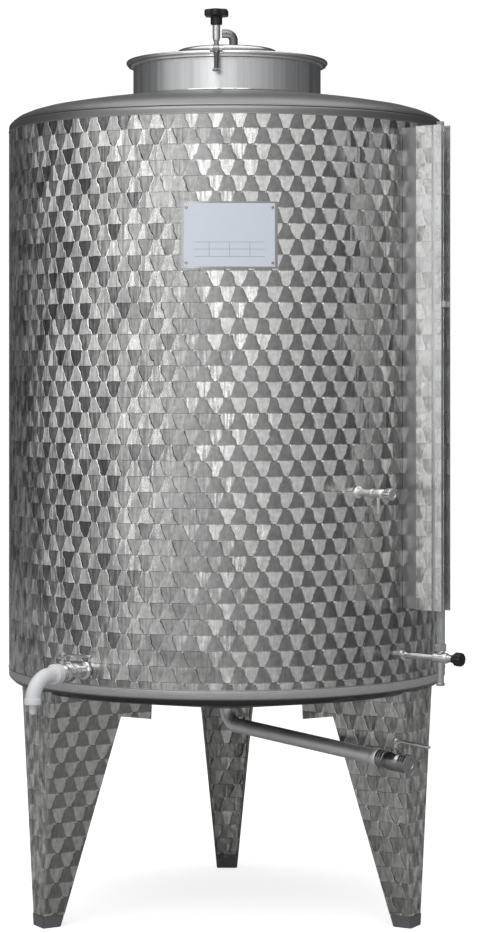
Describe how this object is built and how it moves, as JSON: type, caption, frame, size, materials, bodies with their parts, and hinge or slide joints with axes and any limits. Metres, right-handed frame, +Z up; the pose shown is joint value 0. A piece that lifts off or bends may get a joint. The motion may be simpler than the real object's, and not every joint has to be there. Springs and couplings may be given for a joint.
{
  "type": "vertical storage tank",
  "caption": "Vertical cylindrical stainless steel storage tank on tapered channel legs, with a lidded top manway, level gauge, outlet tap, sampling tap and bottom drain.",
  "frame": {"origin": "on the floor, under the middle of the whole object's box; the tank's own axis stands at X -0.0059, Y 0.0229", "axes": "+Z up along the tank; the front with the nameplate and manway clamp faces -Y"},
  "size_m": [1.0118, 1.0458, 2.026],
  "materials": {
    "shell_wall": "overlapping round polished spots in rows",
    "shell_plain": "satin",
    "lid_steel": "polished",
    "leg_steel": "overlapping round polished spots",
    "fitting_steel": "polished",
    "guard_steel": "spotted, with plain edges",
    "knob_black": "satin black",
    "elbow_white": "semi-matt white",
    "gasket_rubber": "matt off-white",
    "tube_clear": "clear tube",
    "plate_face": "white printed plate, left bare",
    "foot_grey": "plain satin"
  },
  "bodies": {
    "tank": {"bottom_cone": "shell_plain", "drain_pipe": "fitting_steel", "drain_valve": "fitting_steel", "foot_front_left": "foot_grey", "foot_front_right": "foot_grey", "foot_rear": "foot_grey", "gauge_cock": "fitting_steel", "gauge_guard": "guard_steel", "gauge_standoff": "guard_steel", "hinge_bracket": "fitting_steel", "leg_front_left": "leg_steel", "leg_front_right": "leg_steel", "leg_rear": "leg_steel", "manway_collar": "shell_plain", "nameplate": "plate_face", "nameplate_backing": "fitting_steel", "roof_dome": "shell_plain", "sample_tap": "fitting_steel", "shell_front": "shell_wall", "shell_left": "shell_wall", "shell_rear": "shell_wall", "shell_right": "shell_wall", "sight_tube": "tube_clear", "strap_front_left_a": "leg_steel", "strap_front_left_b": "leg_steel", "strap_front_right_a": "leg_steel", "strap_front_right_b": "leg_steel", "strap_rear_a": "leg_steel", "strap_rear_b": "leg_steel", "tap_elbow": "elbow_white", "tap_valve": "fitting_steel", "tube_clip": "elbow_white"},
    "lid": {"lid_pan": "lid_steel", "lid_gasket": "gasket_rubber", "lid_tongue": "fitting_steel", "clamp_ears": "fitting_steel", "breather_vent": "fitting_steel"},
    "clamp_bolt": {"clamp_rod": "fitting_steel", "clamp_sleeve": "fitting_steel"},
    "clamp_hand_knob": {"clamp_knob": "knob_black"},
    "tap_handle": {"tap_lever": "fitting_steel"},
    "drain_handle": {"drain_lever": "fitting_steel"},
    "gauge_cock_knob": {"gauge_knob": "knob_black"},
    "sample_tap_knob": {"sample_knob": "fitting_steel"}
  },
  "joints": [
    {"name": "lid_hinge", "type": "hinge", "parent": "tank", "child": "lid", "pos_m": [0.01807, 0.27172, 1.931], "axis": [-0.9954, 0.0958, 0], "range_deg": [0, 105]},
    {"name": "clamp_swing", "type": "hinge", "parent": "lid", "child": "clamp_bolt", "pos_m": [-0.02927, -0.22, 1.941], "axis": [-0.9954, 0.0958, 0], "range_deg": [0, 40]},
    {"name": "clamp_knob_turn", "type": "hinge", "parent": "clamp_bolt", "child": "clamp_hand_knob", "pos_m": [-0.02927, -0.22, 2], "axis": [0, 0, 1], "range_deg": [0, 360]},
    {"name": "tap_lever_turn", "type": "hinge", "parent": "tank", "child": "tap_handle", "pos_m": [-0.35568, -0.42971, 0.619], "axis": [0, 0, -1], "range_deg": [0, 90]},
    {"name": "drain_lever_turn", "type": "hinge", "parent": "tank", "child": "drain_handle", "pos_m": [0.3585, -0.34152, 0.42412], "axis": [-0.0462, 0.0462, -0.9979], "range_deg": [0, 90]},
    {"name": "gauge_knob_turn", "type": "hinge", "parent": "tank", "child": "gauge_cock_knob", "pos_m": [0.47825, -0.38337, 0.61], "axis": [0.766, -0.6428, 0], "range_deg": [0, 90]},
    {"name": "sample_knob_turn", "type": "hinge", "parent": "tank", "child": "sample_tap_knob", "pos_m": [0.32851, -0.47289, 0.968], "axis": [0.5592, -0.829, 0], "range_deg": [0, 360]}
  ]
}
